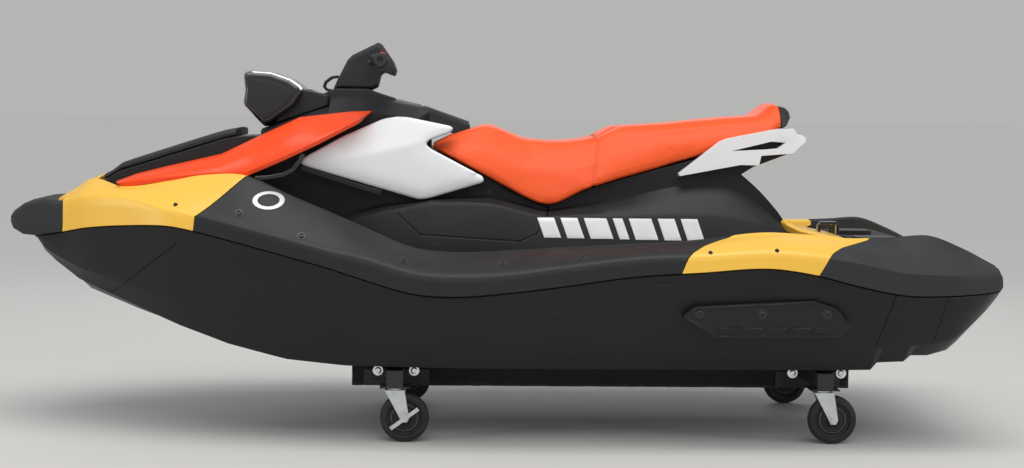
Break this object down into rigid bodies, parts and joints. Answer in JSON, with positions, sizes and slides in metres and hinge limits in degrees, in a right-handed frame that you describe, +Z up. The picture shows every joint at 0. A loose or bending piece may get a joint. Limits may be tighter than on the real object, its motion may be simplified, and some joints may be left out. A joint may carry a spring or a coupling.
{
  "type": "three-seat personal watercraft on a four-caster workshop dolly",
  "caption": "Sporty three-seat personal watercraft in black, yellow, orange and white, resting on a rolling carpeted dolly.",
  "frame": {"origin": "on the floor below the middle of the bounding box", "axes": "+X to the bow, +Y to port, +Z up"},
  "size_m": [3.05, 1.181, 1.222],
  "materials": {
    "hull_plastic": "satin moulded, fine grain",
    "black_plastic": "textured moulded",
    "soft_plastic": "soft satin",
    "yellow_plastic": "satin moulded",
    "orange_plastic": "satin moulded",
    "white_plastic": "satin moulded",
    "grey_plastic": "satin",
    "gloss_black": "glossy",
    "seat_vinyl": "grained marine vinyl",
    "grip_rubber": "ribbed",
    "foam_mat": "ribbed foam",
    "black_metal": "powder coated",
    "zinc": "zinc plated",
    "stainless": "polished",
    "cast_metal": "cast",
    "wheel_rubber": "hard rubber tread on a moulded hub",
    "carpet": "black bunk carpet"
  },
  "bodies": {
    "craft": {"hull": "hull_plastic", "left_topside": "hull_plastic", "right_topside": "hull_plastic", "engine_block": "cast_metal", "deck": "black_plastic", "front_core": "black_plastic", "bow_bumper": "soft_plastic", "bow_panel": "yellow_plastic", "left_hood_panel": "orange_plastic", "right_hood_panel": "orange_plastic", "left_side_panel": "white_plastic", "right_side_panel": "white_plastic", "left_gunwale": "black_plastic", "right_gunwale": "black_plastic", "console": "black_plastic", "speaker_box": "gloss_black", "tail_cover": "black_plastic", "grab_handle": "white_plastic", "left_rear_panel": "yellow_plastic", "right_rear_panel": "yellow_plastic", "left_rear_corner": "soft_plastic", "right_rear_corner": "soft_plastic", "stern_platform": "yellow_plastic", "deck_mat": "foam_mat", "tow_hook": "black_plastic", "towing_eyes": "stainless", "stabilizers": "soft_plastic", "intake_grate": "cast_metal", "ride_plate": "black_plastic", "pump_housing": "cast_metal", "dolly_frame": "black_metal", "bunks": "carpet"},
    "storage_lid": {"front_storage_lid": "black_plastic"},
    "glovebox": {"glovebox_lid": "grey_plastic"},
    "steering": {"steering_cover": "black_plastic", "handlebar": "black_metal", "grips": "grip_rubber", "control_levers": "black_plastic"},
    "seat_unit": {"seat": "seat_vinyl", "seat_rear_cap": "soft_plastic"},
    "impeller_rotor": {"impeller": "stainless"},
    "nozzle": {"steering_nozzle": "black_plastic"},
    "bucket": {"reverse_bucket": "black_plastic"},
    "front_left_caster": {"front_left_fork": "zinc"},
    "front_left_roller": {"front_left_wheel": "wheel_rubber"},
    "front_right_caster": {"front_right_fork": "zinc"},
    "front_right_roller": {"front_right_wheel": "wheel_rubber"},
    "rear_left_caster": {"rear_left_fork": "zinc"},
    "rear_left_roller": {"rear_left_wheel": "wheel_rubber"},
    "rear_right_caster": {"rear_right_fork": "zinc"},
    "rear_right_roller": {"rear_right_wheel": "wheel_rubber"}
  },
  "joints": [
    {"name": "storage_lid_hinge", "type": "hinge", "parent": "craft", "child": "storage_lid", "pos_m": [1.221, 0, 0.796], "axis": [0, 1, 0], "range_deg": [0, 60]},
    {"name": "glovebox_hinge", "type": "hinge", "parent": "craft", "child": "glovebox", "pos_m": [0.2237, 0, 1.0119], "axis": [0, 1, 0], "range_deg": [0, 45]},
    {"name": "steering_column", "type": "hinge", "parent": "craft", "child": "steering", "pos_m": [0.462, 0, 1.056], "axis": [-0.3746, 0, 0.9272], "range_deg": [-25, 25]},
    {"name": "seat_release", "type": "slide", "parent": "craft", "child": "seat_unit", "axis": [-0.848, 0, 0.5299], "range_m": [0, 0.35]},
    {"name": "impeller_shaft", "type": "hinge", "parent": "craft", "child": "impeller_rotor", "pos_m": [-1.17, 0, 0.314], "axis": [1, 0, 0], "continuous": true},
    {"name": "nozzle_pivot", "type": "hinge", "parent": "craft", "child": "nozzle", "pos_m": [-1.31, 0, 0.314], "axis": [0, 0, 1], "range_deg": [-20, 20]},
    {"name": "bucket_pivot", "type": "hinge", "parent": "craft", "child": "bucket", "pos_m": [-1.275, 0, 0.314], "axis": [0, -1, 0], "range_deg": [0, 42]},
    {"name": "front_left_swivel", "type": "hinge", "parent": "craft", "child": "front_left_caster", "pos_m": [0.303, 0.372, 0.16], "axis": [0, 0, 1], "continuous": true},
    {"name": "front_left_axle", "type": "hinge", "parent": "front_left_caster", "child": "front_left_roller", "pos_m": [0.273, 0.372, 0.075], "axis": [0, 1, 0], "continuous": true},
    {"name": "front_right_swivel", "type": "hinge", "parent": "craft", "child": "front_right_caster", "pos_m": [0.303, -0.372, 0.16], "axis": [0, 0, 1], "continuous": true},
    {"name": "front_right_axle", "type": "hinge", "parent": "front_right_caster", "child": "front_right_roller", "pos_m": [0.273, -0.372, 0.075], "axis": [0, 1, 0], "continuous": true},
    {"name": "rear_left_swivel", "type": "hinge", "parent": "craft", "child": "rear_left_caster", "pos_m": [-1.01, 0.372, 0.16], "axis": [0, 0, 1], "continuous": true},
    {"name": "rear_left_axle", "type": "hinge", "parent": "rear_left_caster", "child": "rear_left_roller", "pos_m": [-1.04, 0.372, 0.075], "axis": [0, 1, 0], "continuous": true},
    {"name": "rear_right_swivel", "type": "hinge", "parent": "craft", "child": "rear_right_caster", "pos_m": [-1.01, -0.372, 0.16], "axis": [0, 0, 1], "continuous": true},
    {"name": "rear_right_axle", "type": "hinge", "parent": "rear_right_caster", "child": "rear_right_roller", "pos_m": [-1.04, -0.372, 0.075], "axis": [0, 1, 0], "continuous": true}
  ],
  "couplings": [
    {"joint": "nozzle_pivot", "follows": "steering_column", "ratio": -0.8}
  ]
}
